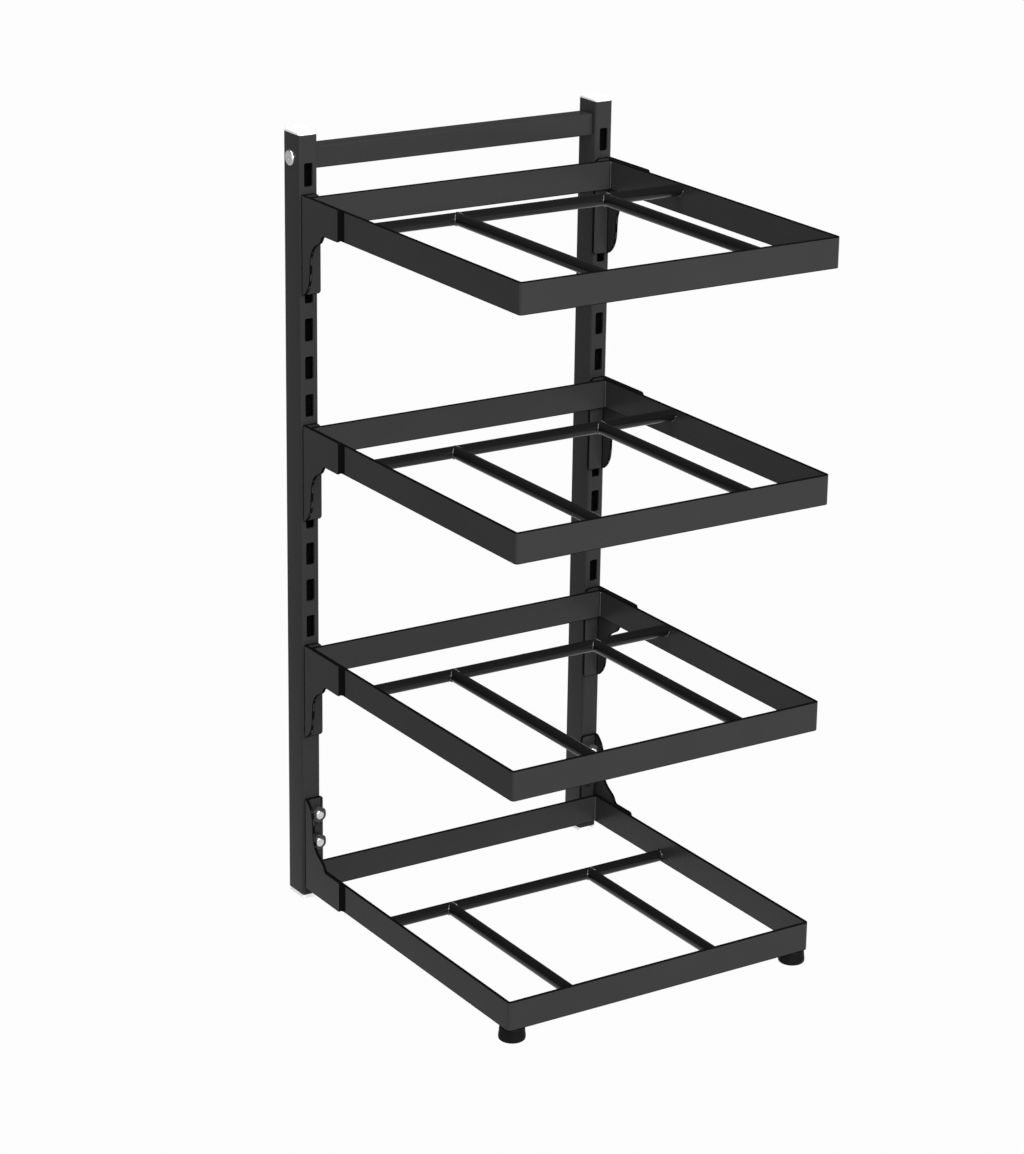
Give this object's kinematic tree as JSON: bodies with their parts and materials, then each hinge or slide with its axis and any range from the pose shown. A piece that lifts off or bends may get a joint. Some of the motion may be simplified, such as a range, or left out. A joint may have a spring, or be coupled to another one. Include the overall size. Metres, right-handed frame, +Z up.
{
  "type": "tiered countertop rack",
  "caption": "Open stand with two slotted posts at the back and tiered rod shelves, whose hooks let them lift off and hang at other heights.",
  "frame": {"origin": "on the floor, in the middle of the overall box of the rack", "axes": "+X to the right of someone facing the rack, +Y towards the wall behind it, +Z up"},
  "size_m": [0.2358, 0.2728, 0.517],
  "materials": {
    "black_paint": "satin black powder coat",
    "white_plastic": "satin moulded plastic",
    "rubber": "matt black moulded rubber",
    "zinc_steel": "bright zinc plate",
    "black_steel_nuts": "black oxide",
    "plain_steel": "plain machined steel"
  },
  "bodies": {
    "stand": {"bottom_shelf_band": "black_paint", "bottom_shelf_cross_rod": "black_paint", "bottom_shelf_left_bracket": "black_paint", "bottom_shelf_left_rod": "black_paint", "bottom_shelf_rear_bar": "black_paint", "bottom_shelf_right_bracket": "black_paint", "bottom_shelf_right_rod": "black_paint", "left_bottom_nuts": "black_steel_nuts", "left_bottom_screws": "zinc_steel", "left_crossbar_insert": "plain_steel", "left_crossbar_screw": "zinc_steel", "left_foot": "rubber", "left_foot_nut": "zinc_steel", "left_foot_screw": "zinc_steel", "left_foot_tab": "black_paint", "left_post": "black_paint", "left_post_bottom_cap": "white_plastic", "left_post_top_cap": "white_plastic", "right_bottom_nuts": "black_steel_nuts", "right_bottom_screws": "zinc_steel", "right_crossbar_insert": "plain_steel", "right_crossbar_screw": "zinc_steel", "right_foot": "rubber", "right_foot_nut": "zinc_steel", "right_foot_screw": "zinc_steel", "right_foot_tab": "black_paint", "right_post": "black_paint", "right_post_bottom_cap": "white_plastic", "right_post_top_cap": "white_plastic", "top_crossbar": "black_paint"},
    "top_shelf": {"top_shelf_band": "black_paint", "top_shelf_cross_rod": "black_paint", "top_shelf_left_bracket": "black_paint", "top_shelf_left_hooks": "black_paint", "top_shelf_left_rod": "black_paint", "top_shelf_rear_bar": "black_paint", "top_shelf_right_bracket": "black_paint", "top_shelf_right_hooks": "black_paint", "top_shelf_right_rod": "black_paint"},
    "upper_middle_shelf": {"upper_middle_shelf_band": "black_paint", "upper_middle_shelf_cross_rod": "black_paint", "upper_middle_shelf_left_bracket": "black_paint", "upper_middle_shelf_left_hooks": "black_paint", "upper_middle_shelf_left_rod": "black_paint", "upper_middle_shelf_rear_bar": "black_paint", "upper_middle_shelf_right_bracket": "black_paint", "upper_middle_shelf_right_hooks": "black_paint", "upper_middle_shelf_right_rod": "black_paint"},
    "lower_middle_shelf": {"lower_middle_shelf_band": "black_paint", "lower_middle_shelf_cross_rod": "black_paint", "lower_middle_shelf_left_bracket": "black_paint", "lower_middle_shelf_left_hooks": "black_paint", "lower_middle_shelf_left_rod": "black_paint", "lower_middle_shelf_rear_bar": "black_paint", "lower_middle_shelf_right_bracket": "black_paint", "lower_middle_shelf_right_hooks": "black_paint", "lower_middle_shelf_right_rod": "black_paint"}
  },
  "joints": [
    {"name": "top_shelf_lift", "type": "slide", "parent": "stand", "child": "top_shelf", "axis": [0, 0, 1], "range_m": [0, 0.012]},
    {"name": "upper_middle_shelf_lift", "type": "slide", "parent": "stand", "child": "upper_middle_shelf", "axis": [0, 0, 1], "range_m": [0, 0.012]},
    {"name": "lower_middle_shelf_lift", "type": "slide", "parent": "stand", "child": "lower_middle_shelf", "axis": [0, 0, 1], "range_m": [0, 0.012]}
  ]
}
